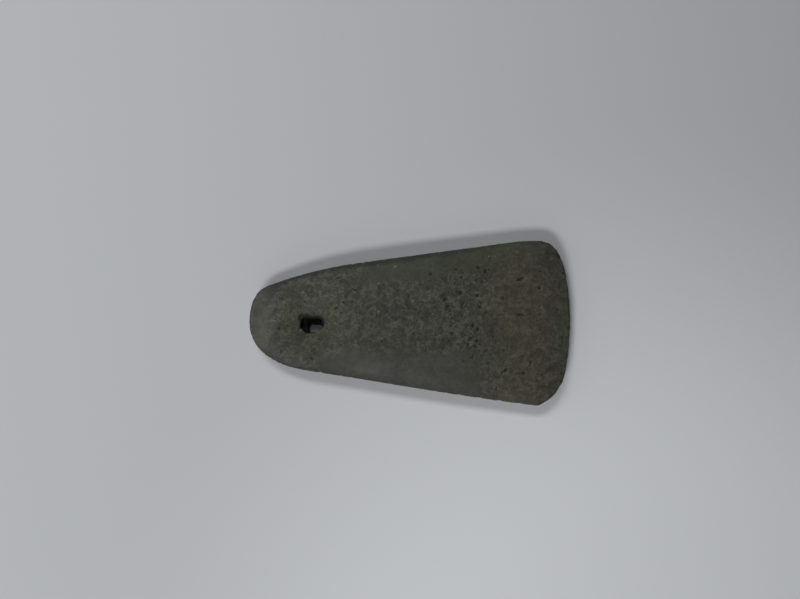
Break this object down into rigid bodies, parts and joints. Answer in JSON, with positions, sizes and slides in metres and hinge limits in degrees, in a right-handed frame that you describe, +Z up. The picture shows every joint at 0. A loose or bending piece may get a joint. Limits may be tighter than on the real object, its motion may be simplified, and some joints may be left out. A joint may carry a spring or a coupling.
{
  "type": "polished stone axe head",
  "caption": "Flat polished stone axe head with a rounded butt, straight flaring flanks, a wide curved cutting edge and a drilled lashing hole near the butt.",
  "frame": {"origin": "under the middle of the axe, on the plane of its ground lower face", "axes": "+X from the butt to the cutting edge, +Y across the blade, +Z up out of the upper face as it lies flat"},
  "size_m": [0.13, 0.0668, 0.013],
  "materials": {
    "stone": "fine-grained olive-grey stone, ground and polished to a dull sheen, with peck pits and a worn edge"
  },
  "bodies": {
    "root": {"axe_head": "stone"}
  },
  "joints": []
}
